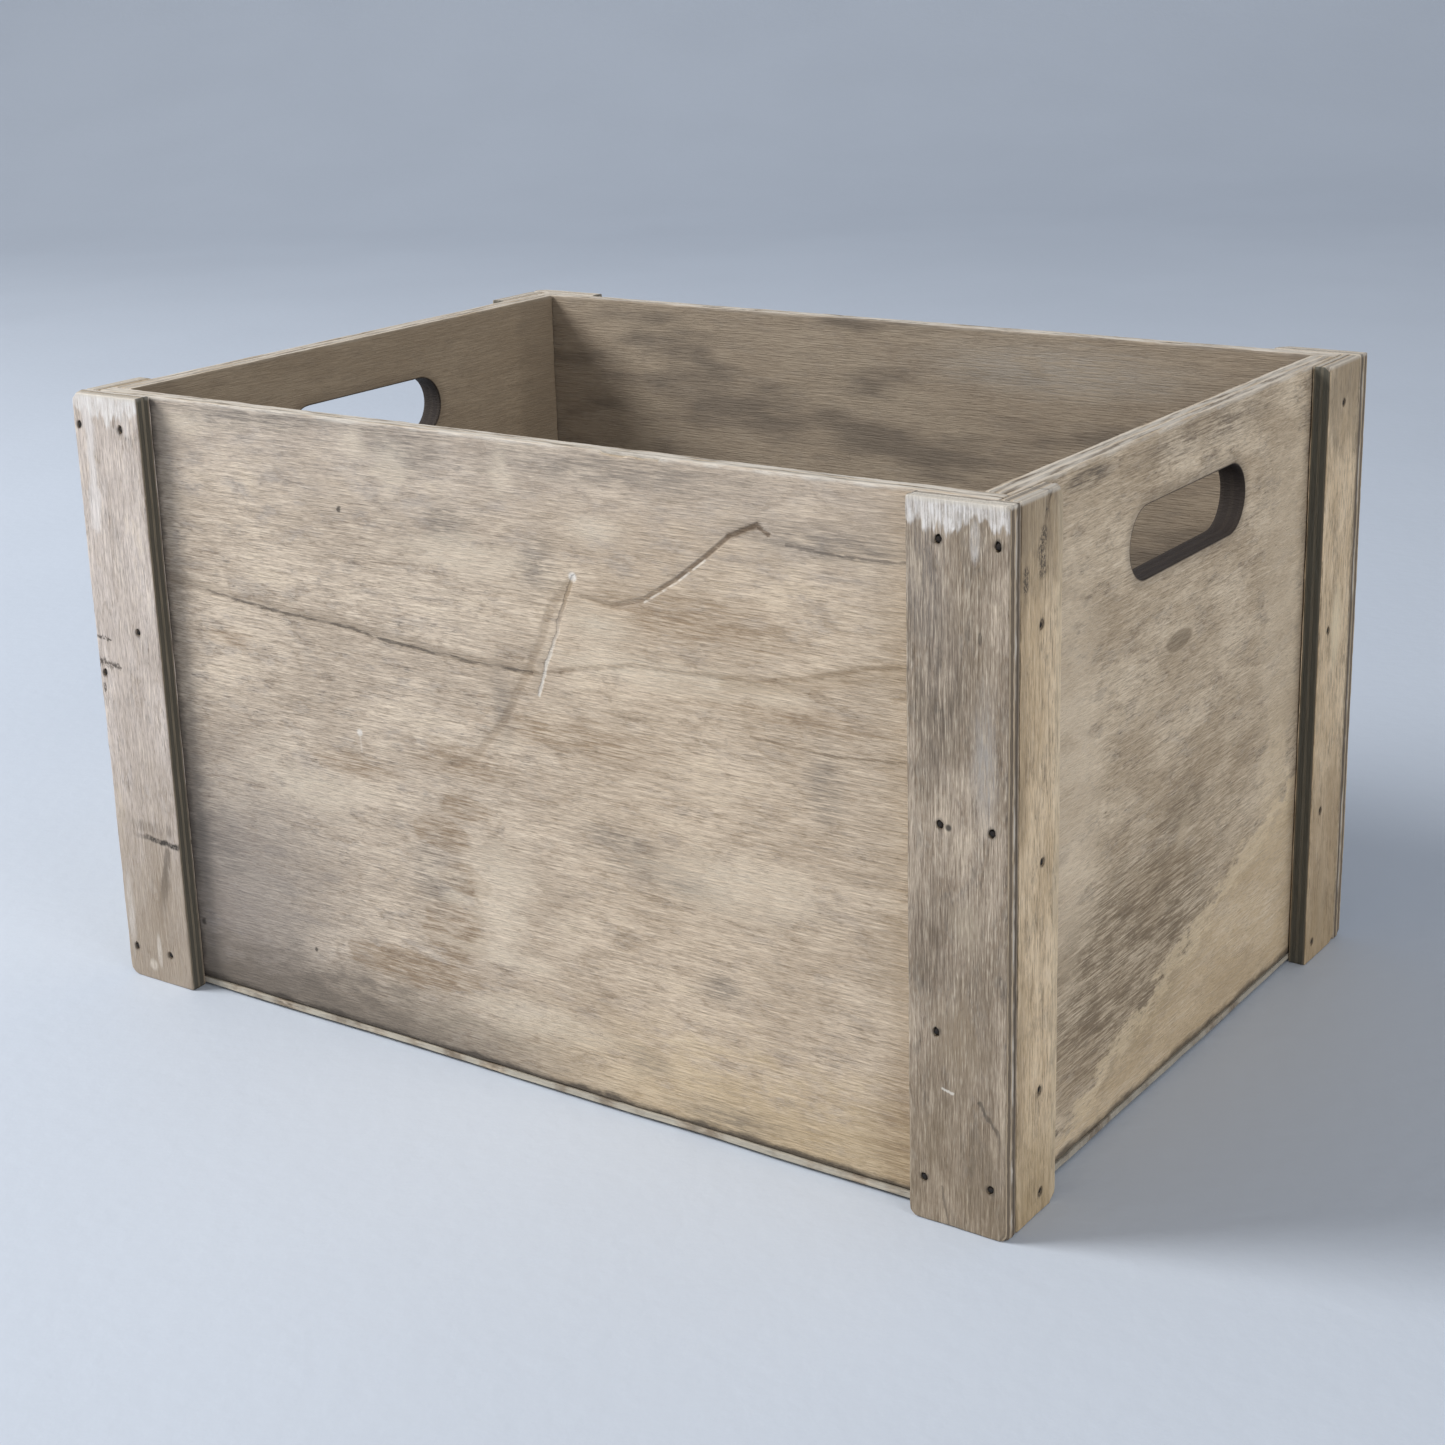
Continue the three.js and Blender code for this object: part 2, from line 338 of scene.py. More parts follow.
class Ply(Finish):
    """Weathered plywood. along and across lie in the face with and against the grain, and depth
    goes in from the outer face, all in millimetres."""

    def __init__(self, name, node, grain, outward, seed):
        super().__init__(name)
        low, high = (np.array(corner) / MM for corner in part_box(node))
        thin = int(np.argmin(high - low))
        side = "XYZ"[thin]
        self.seed = seed
        self.thickness = float((high - low)[thin])
        place = self.node("TexCoord", output="Object")
        self.at = {axis: self.node("SeparateXYZ", {}, {0: place}, output=axis) * 1000 for axis in "XYZ"}
        self.along = self.at[grain]
        self.across = self.at[next(axis for axis in "XYZ" if axis not in (grain, side))]
        if outward > 0:
            self.depth = float(high[thin]) - self.at[side]
        else:
            self.depth = self.at[side] - float(low[thin])
        self.layer = self.depth * 0.35 + seed

    def grainy(self, length, height, detail=3.0, shift=0.0, rough=0.5):
        return self.noise(self.along, self.across, self.layer + shift, (length, height), detail, rough)

    def weather(self, light, dark, grey, checks=0.5, figure=0.3):
        """Face colour: warm wood gone grey in clouds, with dark and pale dashes along the grain."""
        self.cloud = self.grainy(64, 30, 6.0, 0.0, 0.62)
        self.break_up = self.grainy(19, 8, 6.0, 3.7, 0.7)
        self.dashes = self.grainy(15, 0.75, 4.0, 1.3, 0.66)
        fibres = self.grainy(4.5, 0.4, 1.0, 2.2)
        self.mottle = (self.break_up * 0.45 + self.dashes * 0.55).ramp(0.42, 0.58) * 0.75 + 0.25
        self.colour = self.blend(self.cloud.ramp(0.38, 0.62), light, dark)
        self.tint(self.break_up.ramp(0.5, 0.66) * 0.5, grey)
        self.tint((self.cloud * 0.5 + self.break_up * 0.5).ramp(0.47, 0.36) * 0.35, paint(236, 219, 194))
        waves = (self.across * 0.5 + self.cloud * 44).math("SINE")
        self.tint(waves.ramp(0.5, 1.0) * self.break_up.ramp(0.42, 0.62) * figure, paint(134, 108, 78))
        self.tint(self.dashes.ramp(0.5, 0.7) * checks, paint(98, 82, 64))
        self.tint(self.dashes.ramp(0.46, 0.28) * 0.4, paint(240, 226, 204))
        self.tint(fibres.ramp(0.48, 0.72) * 0.34, paint(104, 88, 70))
        self.tint(fibres.ramp(0.45, 0.28) * 0.24, paint(240, 227, 206))
        specks = self.grainy(5, 0.9, 2.0, 6.4).ramp(0.58, 0.7)
        self.tint(specks * self.break_up.ramp(0.5, 0.62) * 0.5, paint(82, 74, 66))
        self.height = self.dashes.ramp(0.72, 0.36) * 0.7 + fibres * 0.5 - self.break_up * 0.3

    def show_plies(self, rim, pale=0.8):
        """Sawn edges, where the plies lie bare, and the pale worn rim along the top."""
        ply = self.depth * (PLY_COUNT / self.thickness)
        turned = (ply * 0.5).math("FRACT").ramp(0.46, 0.54)
        seam = ((ply + 0.5).math("FRACT") - 0.5).math("ABSOLUTE").ramp(0.16, 0.04)
        streak = self.noise(self.at["X"], self.at["Z"], self.depth * 1.7, (16, 16), 3.0)
        bare = self.blend(turned, paint(186, 167, 141), paint(118, 104, 87))
        bare = self.blend(streak.ramp(0.4, 0.7) * 0.5, bare, paint(92, 82, 70))
        bare = self.blend(seam * 0.7, bare, paint(66, 60, 54))
        inner = self.depth.math("MINIMUM", self.thickness - self.depth)
        self.edge = inner.ramp(0.35, 1.0)
        self.tint(self.edge, bare)
        worn = self.noise(self.along, self.depth, self.seed + 2.2, (24, 2.4), 4.0, 0.6)
        height = self.at["Z"] + worn * 2.4
        self.tint(height.ramp(rim - 1.0, rim + 0.9) * worn.ramp(0.3, 0.6) * pale, paint(218, 211, 200))

    def paint_inner_shade(self, colour, amount):
        # Painted shade: the inner face is tinted darker, as the inside of the crate lies in shade.
        self.tint(self.depth.ramp(self.thickness - 0.9, self.thickness - 0.3) * amount, colour)

    def ragged(self, value, amount):
        """value pushed to and fro by about half of amount, so that an outline drawn with it is uneven."""
        return value + (self.break_up - 0.5) * amount * 2.2

    def spot(self, u, v, middle, reach, soft=0.6, rough=0.5):
        """1 inside an uneven oval of half-sizes reach round middle, fading out over soft of it."""
        du = (u - middle[0]) / reach[0]
        dv = (v - middle[1]) / reach[1]
        far = (du * du + dv * dv).math("SQRT") + (self.break_up - 0.5) * (rough * 3.2)
        return far.ramp(1 + soft / 2, 1 - soft / 2) * self.mottle

    def dot(self, u, v, middle, radius):
        """1 in the middle of a small round mark, down to 0 at radius from it."""
        du = u - middle[0]
        dv = v - middle[1]
        return (du * du + dv * dv).math("SQRT").ramp(radius, radius * 0.4)

    def stroke(self, u, v, route, width):
        """1 on the line through the points of route, down to 0 at width from it."""
        nearest = None
        for (u0, v0), (u1, v1) in zip(route, route[1:]):
            du, dv = u1 - u0, v1 - v0
            share = ((u - u0) * du + (v - v0) * dv) / (du * du + dv * dv)
            share = share.math("MINIMUM", 1.0).math("MAXIMUM", 0.0)
            off_u = u - u0 - share * du
            off_v = v - v0 - share * dv
            gap = off_u * off_u + off_v * off_v
            nearest = nearest.math("MINIMUM", gap) if nearest else gap
        return nearest.math("SQRT").ramp(width, width * 0.3)


HALF_LENGTH = cad_box[1][0] / MM
RIM = cad_box[1][2] / MM

CRACK = [(-203, 210), (-171, 207), (-133, 204), (-93, 202.5), (-63, 199.5), (-17, 197), (15, 197)]
CRACK_END = [(15, 197), (40, 203), (70, 209), (117, 211), (150, 215), (183, 225), (204, 229)]
GOUGE = [(40, 243), (36, 234), (30, 217), (23, 200), (19, 188)]
SCUFF = [(38, 240), (27, 227), (22, 214), (13, 197), (5, 184), (-2, 172), (-10, 164), (-20, 152), (-31, 148)]
SCRATCH = [(44, 235), (60, 233.5), (77, 238.5), (93, 248.5), (108, 260), (120, 270), (134, 276.5), (139, 273)]

# Stains and patches on the front panel: the middle and the half-sizes of each, in x and z.
TIDE_MARKS = (
    ((-42, 112), (17, 8)), ((-30, 92), (13, 9)), ((-38, 66), (18, 15)), ((-64, 42), (42, 9)),
    ((-28, 128), (15, 6)),
)
BROWN_STAINS = (
    ((-93, 137), (24, 6)), ((-28, 150), (26, 8)), ((30, 172), (44, 8)), ((150, 200), (44, 5)),
    ((96, 232), (60, 9)), ((-168, 186), (14, 5)), ((196, 30), (12, 26)),
)
GREY_STAINS = (
    ((60, 129), (22, 7)), ((84, 116), (26, 5)), ((110, 73), (10, 6)), ((70, 28), (10, 5)),
    ((112, 13), (26, 6)), ((163, 173), (8, 16)), ((-46, 92), (15, 14)), ((60, 290), (60, 7)),
    ((-50, 288), (24, 9)), ((165, 272), (36, 6)), ((-30, 258), (12, 8)), ((20, 246), (10, 12)),
    ((-196, 78), (24, 14)), ((-2, 178), (6, 14)), ((-160, 292), (40, 4)), ((-120, 296), (60, 3)),
)
PALE_PATCHES = (
    ((-58, 281), (9, 12)), ((-80, 288), (7, 7)), ((-185, 288), (16, 6)), ((52, 225), (16, 7)),
    ((4, 284), (5, 9)), ((52, 264), (12, 6)), ((-20, 245), (30, 8)), ((120, 120), (40, 14)),
    ((88, 207), (60, 6)), ((-10, 92), (16, 22)), ((-34, 84), (10, 5)), ((-14, 60), (26, 5)),
    ((-120, 120), (30, 10)), ((10, 34), (40, 8)),
)


def front_finish():
    f = Ply("front_panel_ply", "front_panel", "X", -1, 1.0)
    x, z = f.at["X"], f.at["Z"]
    f.weather(paint(217, 200, 180), paint(196, 179, 160), paint(170, 160, 151))
    f.tint(f.ragged(x, 60).ramp(-60, 90) * 0.16, paint(222, 190, 146))
    f.tint(f.ragged(z, 60).ramp(235, 292) * 0.3, paint(186, 176, 168))
    f.tint(f.ragged(z, 50).ramp(60, 14) * x.ramp(-60, 120) * 0.4, paint(200, 174, 126))
    f.tint(f.ragged(x, 16).ramp(180, 206) * 0.2, paint(222, 188, 142))
    f.tint(f.ragged(x, 60).ramp(-70, -170) * f.ragged(z, 50).ramp(170, 60) * 0.66, paint(132, 125, 122))
    f.tint(f.ragged(z, 24).ramp(46, 8) * x.ramp(80, -90) * 0.85, paint(106, 96, 85))
    # Painted shade: the panel is greyed towards the left batten, where that batten's shadow falls.
    f.tint(f.ragged(x, 30).ramp(-186, -210) * 0.55, paint(124, 115, 106))
    for middle, reach in TIDE_MARKS:
        f.tint(f.spot(x, z, middle, reach, 0.24, 0.55) * 0.6, paint(138, 112, 82))
    for middle, reach in BROWN_STAINS:
        f.tint(f.spot(x, z, middle, reach, 1.1, 1.0) * 0.5, paint(142, 114, 82))
    for middle, reach in GREY_STAINS:
        f.tint(f.spot(x, z, middle, reach, 1.2, 1.2) * 0.5, paint(104, 99, 95))
    for middle, reach in PALE_PATCHES:
        f.tint(f.spot(x, z, middle, reach, 1.2, 1.1) * 0.5, paint(240, 226, 204))
    uneven_x = f.ragged(x, 2.4)
    uneven_z = f.ragged(z, 2.0)
    broken = f.grainy(9, 3, 3.0, 5.5).ramp(0.36, 0.5)
    outer = f.depth.ramp(4, 2)
    crack = f.stroke(uneven_x, uneven_z, CRACK, 0.95) * (x.ramp(-196, -160) * 0.7 + 0.3) * outer
    crack_end = f.stroke(uneven_x, uneven_z, CRACK_END, 1.6) * outer
    gouge = f.stroke(uneven_x, z, GOUGE, 1.25) * outer
    scuff = f.stroke(uneven_x, uneven_z, SCUFF, 3.0) * outer
    scratch = f.stroke(uneven_x, uneven_z, SCRATCH, 1.5) * (x.ramp(40, 104) * 0.65 + 0.35) * outer
    f.tint(f.stroke(x, uneven_z - 1.5, CRACK, 4.0) * outer * 0.25, paint(118, 98, 74))
    f.tint(crack * (broken * 0.5 + 0.2), paint(66, 58, 50))
    f.tint(crack_end * (broken * 0.3 + 0.08), paint(112, 90, 64))
    f.tint(f.stroke(x, uneven_z + 3, CRACK_END[3:], 6.0) * outer * 0.28, paint(150, 124, 90))
    f.tint(f.stroke(x, uneven_z, [(147, 270), (175, 268), (204, 269)], 0.9) * broken * 0.6, paint(92, 84, 76))
    vein = f.stroke(x, uneven_z, [(128, 188), (168, 186), (204, 190)], 0.9)
    f.tint(vein * broken * 0.5, paint(120, 100, 76))
    f.tint(scuff * 0.27, paint(124, 101, 74))
    f.tint(scratch * (broken * 0.3 + 0.45), paint(96, 74, 50))
    f.tint(f.stroke(x, uneven_z, SCRATCH[5:7], 2.4) * outer * 0.5, paint(92, 72, 50))
    f.tint(gouge * z.ramp(236, 196) * 0.72, paint(236, 230, 220))
    f.tint(gouge * z.ramp(206, 236) * 0.5, paint(126, 98, 68))
    f.tint(f.stroke(x, z + 1.4, SCRATCH[2:5], 0.7) * broken * 0.6, paint(232, 224, 212))
    f.tint(f.dot(x, z, (40, 243), 2.8) * 0.85, paint(240, 236, 230))
    f.tint(f.dot(x, z, (-88, 153), 2.3) * 0.75, paint(236, 230, 222))
    f.tint(f.stroke(x, z, [(-88, 152), (-87.5, 144)], 0.8) * 0.3, paint(226, 218, 208))
    for middle, radius in (((-91, 257), 1.8), ((-127, 37), 1.6), ((-203, 35), 2.3)):
        f.tint(f.dot(uneven_x, uneven_z, middle, radius) * 0.8, paint(52, 46, 40))
    # Painted shadow: a dark band on the panel right beside the left batten.
    f.tint(f.ragged(x, 6).ramp(-202, -207) * 0.6, paint(84, 77, 70))
    # Painted shade: a dark band along the panel's lower edge, above the floor sheet.
    f.tint(f.ragged(z, 4).ramp(9, 5.5) * 0.88, paint(62, 54, 46))
    f.show_plies(RIM)
    f.paint_inner_shade(paint(146, 134, 119), 0.7)
    f.height = f.height - crack * 0.9 - scratch * 1.0 - gouge * 1.2 - scuff * 0.5
    return f.finished(0.82, bump_mm=0.4)


def groove(points, route, width, depth):
    """How deep each point of a long panel's face lies in a groove along route, in x and z."""
    flat = points[:, [0, 2]]
    gap = np.full(len(points), np.inf)
    for start, stop in zip(route, route[1:]):
        start, run = np.array(start), np.subtract(stop, start)
        share = np.clip((flat - start) @ run / (run @ run), 0, 1)
        gap = np.minimum(gap, np.linalg.norm(flat - start - share[:, None] * run, axis=1))
    return depth * np.exp(-((gap / width) ** 2))


def front_shape(points):
    outer = points[:, 1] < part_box("front_panel")[0][1] / MM + 1.2
    sink = groove(points, CRACK, 1.6, 0.3) + groove(points, SCRATCH, 1.8, 0.4)
    sink += groove(points, GOUGE, 1.5, 0.4) + groove(points, SCUFF, 2.5, 0.2)
    moved = points.copy()
    moved[:, 1] += np.where(outer, sink, 0)
    at_rim = (points[:, 2] > RIM - 3) & (points[:, 1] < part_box("front_panel")[0][1] / MM + 2.2)
    lost_chip = at_rim & (np.abs(points[:, 0] - 72) < 15)
    moved[:, 2] -= np.where(lost_chip, 1.5 + 0.5 * drift(points, 5, 31), 0)
    return moved


worn_board("front_panel", front_finish(), 1, shape=front_shape, step=2.0)


def rear_finish():
    f = Ply("rear_panel_ply", "rear_panel", "X", 1, 2.0)
    x, z = f.at["X"], f.at["Z"]
    f.weather(paint(212, 195, 170), paint(186, 168, 144), paint(172, 164, 154))
    for middle, reach in (((-90, 190), (50, 16)), ((70, 90), (60, 20)), ((150, 230), (30, 12))):
        f.tint(f.spot(x, z, middle, reach, 0.9, 0.9) * 0.45, paint(128, 110, 88))
    # Painted shade: a dark band along the panel's lower edge.
    f.tint(f.ragged(z, 5).ramp(11, 5) * 0.6, paint(92, 80, 66))
    f.show_plies(RIM)
    f.paint_inner_shade(paint(146, 133, 118), 0.75)
    f.tint(f.depth.ramp(6, 8.5) * f.grainy(70, 20, 4.0, 11.3).ramp(0.46, 0.68) * 0.6, paint(92, 84, 76))
    f.tint(f.depth.ramp(6, 8.5) * f.spot(x, z, (95, 280), (70, 13), 1.0, 0.8) * 0.55, paint(176, 170, 162))
    return f.finished(0.84, bump_mm=0.35)


worn_board("rear_panel", rear_finish(), 2)


# ---- End panels ----
# 12 mm plywood with the grain lying across the end, fitted between the long panels. The hand slot
# was bored at both ends and sawn between, and hands have rounded and darkened its edge. Its walls
# are painted nearly black, partly hand grime and partly painted shade inside the hole.

SLOT_HALF_LENGTH = 58.0
SLOT_RADIUS = 15.5
SLOT_HEIGHT = 254.0
SLOT_ROUNDING = 1.5
SLOT_POINTS = 20


def slot_ring(x, spare):
    """The slot's outline at x, spare wider all round."""
    radius = SLOT_RADIUS + spare
    middle = SLOT_HALF_LENGTH - SLOT_RADIUS
    ring = []
    for side, start in ((1, -90), (-1, 90)):
        for angle in np.radians(np.linspace(start, start + 180, SLOT_POINTS)):
            ring.append((x, side * middle + radius * math.cos(angle), SLOT_HEIGHT + radius * math.sin(angle)))
    return ring


def lofted(name, rings, material=None):
    """A closed solid through rings with the same number of points, each shape capped flat."""
    count = len(rings[0])
    points = np.array([point for ring in rings for point in ring]) * MM
    faces = [tuple(range(count))[::-1]]
    for level in range(len(rings) - 1):
        below = level * count
        above = below + count
        for i in range(count):
            j = (i + 1) % count
            faces.append((below + i, below + j, above + j, above + i))
    faces.append(tuple(range((len(rings) - 1) * count, len(rings) * count)))
    return add_mesh(name, points, faces, material)


def slot_cutter(node):
    """What a router with a rounding bit takes out of an end panel at its slot."""
    low, high = (corner[0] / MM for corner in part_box(node))
    turns = np.radians(np.linspace(0, 90, 6))
    rounding = [(1 - math.cos(a), 1 - math.sin(a)) for a in turns]
    entry = [(low - 0.5 + SLOT_ROUNDING * sunk, SLOT_ROUNDING * spare) for sunk, spare in rounding]
    levels = [(low - 4, SLOT_ROUNDING), *entry]
    levels += [(low + high - x, spare) for x, spare in reversed(levels)]
    return lofted("slot_waste", [slot_ring(x, spare) for x, spare in levels])


def end_finish(node, outward, seed, marked):
    f = Ply(node + "_ply", node, "Y", outward, seed)
    y, z = f.at["Y"], f.at["Z"]
    f.weather(paint(222, 203, 176), paint(195, 175, 148), paint(176, 162, 145), checks=0.42)
    if marked:
        f.tint(f.spot(y, z, (-50, 72), (84, 46), 0.6, 0.4) * 0.8, paint(126, 109, 86))
        f.tint(f.spot(y, z, (30, 116), (50, 32), 0.9, 0.6) * 0.36, paint(150, 130, 102))
        f.tint(f.spot(y, z, (-108, 175), (24, 80), 1.1, 0.7) * 0.6, paint(240, 222, 196))
        damp_line = f.ragged(z, 26) - y * 0.34
        f.tint(damp_line.ramp(59, 49) * 0.5 * f.mottle, paint(236, 210, 168))
        damp_rim = damp_line.ramp(44, 50) * damp_line.ramp(60, 54) * y.ramp(-118, -90)
        f.tint(damp_rim * 0.45, paint(244, 224, 190))
        f.tint(f.ragged(z, 30).ramp(34, 4) * y.ramp(-60, 20) * 0.35, paint(176, 152, 116))
        f.tint(f.spot(y, z, (14, 290), (62, 7), 0.9, 0.8) * 0.6, paint(104, 90, 76))
        f.tint(f.spot(y, z, (-95, 292), (20, 4), 0.8, 0.8) * 0.7, paint(66, 60, 54))
        f.tint(f.spot(y, z, (2, 122), (22, 10), 0.8, 0.7) * 0.5, paint(112, 98, 80))
        f.tint(f.spot(y, z, (2, 113), (7, 6), 1.2, 0.9) * 0.5, paint(226, 206, 176))
        knot = ((y + 7.6) * (y + 7.6) * 0.115 + (z - 203) * (z - 203)).math("SQRT")
        f.tint((knot + f.dashes * 1.6).ramp(5.8, 4.6) * 0.55, paint(118, 100, 78))
        f.tint(f.spot(y, z, (-7.6, 203), (9, 3), 0.6, 0.3) * 0.3, paint(150, 138, 118))
        f.tint(f.spot(y, z, (110, 190), (26, 80), 1.0, 0.6) * 0.4, paint(244, 226, 198))
        f.tint(f.spot(y, z, (104, 100), (16, 40), 1.0, 0.6) * 0.4, paint(244, 222, 186))
        f.tint(f.spot(y, z, (-119, 18), (4, 1.8), 0.6) * 0.85, paint(58, 52, 46))
    # Painted shade: the end panel is darker in a band beside the narrow battens.
    batten_shade = f.ragged(y, 5).math("ABSOLUTE").ramp(122, 136)
    f.tint(batten_shade * 0.5, paint(98, 88, 76))
    # Painted shade: a dark band along the panel's lower edge.
    f.tint(f.ragged(z, 4).ramp(9.5, 5.5) * 0.8, paint(66, 58, 49))
    f.show_plies(RIM, pale=0.6)
    f.paint_inner_shade(paint(150, 136, 118), 0.75)
    middle = SLOT_HALF_LENGTH - SLOT_RADIUS
    past = (y.math("ABSOLUTE") - middle).math("MAXIMUM", 0.0)
    rise = z - SLOT_HEIGHT
    off_slot = (past * past + rise * rise).math("SQRT") - SLOT_RADIUS
    f.tint(off_slot.ramp(7, 1) * 0.35, paint(110, 98, 84))
    # The slot's walls and lip are painted nearly black: partly hand grime, partly painted shade.
    f.tint(off_slot.ramp(1.2, 0.2) * 0.96, paint(30, 19, 14))
    return f.finished(0.8, bump_mm=0.3)


for node, outward, seed, marked in (("right_end_panel", 1, 3.0, True), ("left_end_panel", -1, 4.0, False)):
    worn_board(node, end_finish(node, outward, seed, marked), seed, cutter=slot_cutter(node))


# ---- Floor sheet ----
# Thin 3 mm plywood nailed up against the panels' lower edges, inside the feet of the battens. Its
# edge shows as a thin pale line under each panel.

def floor_sheet_finish():
    f = Ply("floor_ply", "floor_panel", "X", 1, 5.0)
    f.weather(paint(158, 144, 126), paint(132, 119, 104), paint(122, 116, 108))
    f.tint(f.grainy(120, 90, 3.0, 8.8).ramp(0.5, 0.7) * 0.5, paint(92, 82, 70))
    rim_x = f.at["X"].math("ABSOLUTE").ramp(239, 240.2)
    rim_y = f.at["Y"].math("ABSOLUTE").ramp(167.4, 168.6)
    worn = f.noise(f.at["X"], f.at["Y"], 3.3, (14, 14), 3.0)
    f.tint(rim_x.math("MAXIMUM", rim_y) * worn.ramp(0.3, 0.6) * 0.8, paint(188, 182, 168))
    return f.finished(0.88, bump_mm=0.3)


def floor_shape(points):
    """The sheet sags and creeps out a little between its nails."""
    moved = points.copy()
    side = np.sign(points[:, 1]) * (np.abs(points[:, 1]) > 160)
    moved[:, 1] += side * (0.5 + 0.5 * drift(points, 45, 51))
    end = np.sign(points[:, 0]) * (np.abs(points[:, 0]) > 232)
    moved[:, 0] += end * (0.5 + 0.5 * drift(points, 45, 52))
    moved[:, 2] += 0.25 * drift(points, 60, 53)
    return moved


worn_board("floor_panel", floor_sheet_finish(), 5, wear=0.35, shape=floor_shape, step=4.0)


# ---- Wide battens ----
# Four 44 x 9 mm strips sawn from plywood with the grain upright, nailed over the corners of the long
# sides. They stand on the ground, so their feet are bruised, and old white paint clings to two heads.

NAIL_NODES = [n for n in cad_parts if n.startswith("nail_")]
NAIL_SUNK = 0.6
PIT_POINTS = 14
PIT_LEVELS = ((-1.5, 1.72), (0.0, 1.66), (0.3, 1.55), (1.9, 1.52))


def nail_axes(node):
    """Which axis a nail lies on, which way its head faces, and the middle of its head's top."""
    low, high = (np.array(corner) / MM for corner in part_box(node))
    axis = int(np.argmax(high - low))
    middle = (low + high) / 2
    facing = -1 if axis == 2 else int(np.sign(middle[axis]))
    top = middle.copy()
    top[axis] = high[axis] if facing > 0 else low[axis]
    return axis, facing, top


def ring_round(axis, facing, middle, depth, radius, count, seed, stretch=1.0):
    """An uneven circle of points round an axis, depth below middle, drawn out along the grain."""
    u, v = ((1, 2), (2, 0), (0, 1))[axis]
    ring = []
    for i in range(count):
        angle = 2 * math.pi * i / count
        uneven = 1 + 0.1 * math.sin(2 * angle + seed * 2.1) + 0.07 * math.sin(5 * angle + seed * 3.7)
        point = np.array(middle, float)
        point[axis] -= facing * depth
        point[u] += radius * uneven * math.cos(angle) * (stretch if u == 2 else 1)
        point[v] += radius * uneven * math.sin(angle) * (stretch if v == 2 else 1)
        ring.append(point)
    return ring if facing < 0 else ring[::-1]


def nail_pits(nodes, face_axis):
    """One cutter for the torn holes that these nails' heads sit in."""
    rings_of = []
    for seed, node in enumerate(nodes):
        axis, facing, top = nail_axes(node)
        if axis != face_axis:
            continue
        surface = top.copy()
        surface[axis] += facing * NAIL_SUNK
        rings_of.append([ring_round(axis, facing, surface, depth, radius, PIT_POINTS, seed, 1.3)
                         for depth, radius in PIT_LEVELS])
    parts = [lofted("pit", rings) for rings in rings_of]
    with bpy.context.temp_override(active_object=parts[0], selected_editable_objects=parts):
        bpy.ops.object.join()
    return parts[0]


def batten_shape(chips, seed):
    """Cuts off split and bruised corners. A chip is a point on the cut and the way the cut faces."""
    def shape(points):
        moved = points.copy()
        for place, facing in chips:
            facing = np.array(facing, float) / np.linalg.norm(facing)
            above = (moved - np.array(place, float)) @ facing + 0.5 * drift(moved, 4, seed)
            moved -= np.maximum(above, 0)[:, None] * facing
        return moved
    return shape


def rust_marks(f, u, v, nodes, amount):
    """The black stain that each rusting nail has left in the wood round its head."""
    u, v = f.ragged(u, 1.6), f.ragged(v, 2.6)
    for node in nodes:
        axis, _, top = nail_axes(node)
        f.tint(f.dot(u, v, (float(top[1 - axis]), float(top[2])), 3.0) * amount, paint(48, 42, 37))


def old_paint(f, u, low, seed, run):
    """White paint half worn off a head down to about low, in a ragged coat that has run at one place."""
    z = f.at["Z"]
    hem = z + (f.noise(u, z, seed, (8.0, 50), 4.0, 0.62) - 0.5) * 34 + (f.break_up - 0.5) * 6
    coat = hem.ramp(low - 1.2, low + 1.8).math("MAXIMUM", f.spot(u, z, run, (2.2, 9), 0.7, 0.5) * 0.8)
    kept = f.dashes.ramp(0.64, 0.4) * 0.45 + f.grainy(5, 3, 3.0, 7.7, 0.7).ramp(0.4, 0.6) * 0.25 + 0.3
    f.tint(coat * kept * f.depth.ramp(2.2, 0.5), paint(230, 226, 222))


# Stains on the near batten: the middle, the half-sizes and the colour of each.
NEAR_BATTEN_STAINS = (
    ((214, 266), (8, 26), (108, 106, 106)), ((220, 222), (10, 34), (88, 80, 73)),
    ((240, 198), (5, 24), (190, 186, 182)), ((232, 132), (6, 8), (196, 182, 160)),
    ((216, 120), (8, 24), (104, 92, 80)), ((228, 84), (9, 16), (170, 152, 128)),
    ((240, 30), (7, 24), (112, 98, 82)),
)


def near_wide_marks(f, x, z):
    for middle, reach, colour in NEAR_BATTEN_STAINS:
        f.tint(f.spot(x, z, middle, reach, 1.1, 0.9) * 0.5, paint(*colour))
    f.tint(f.ragged(z, 40).ramp(110, 10) * 0.4, paint(126, 108, 82))
    f.tint(f.stroke(x, f.ragged(z, 2), [(221.7, 60.6), (226.3, 59)], 0.9) * 0.8, paint(226, 220, 210))
    tear = f.stroke(f.ragged(x, 2), f.ragged(z, 3), [(238.3, 58.6), (246, 48), (248, 37)], 1.2)
    f.tint(tear * z.ramp(34, 52) * 0.6, paint(66, 58, 50))
    f.tint(f.stroke(f.ragged(x, 2), z, [(220.8, 17), (224.2, 1)], 0.9) * 0.45, paint(72, 64, 56))
    f.tint(f.spot(x, z, (237.8, 247), (0.7, 2.6), 0.5, 0.3) * 0.8, paint(46, 42, 38))
    f.tint(f.dot(x, z, (224.4, 170.4), 1.9) * 0.85, paint(40, 36, 33))


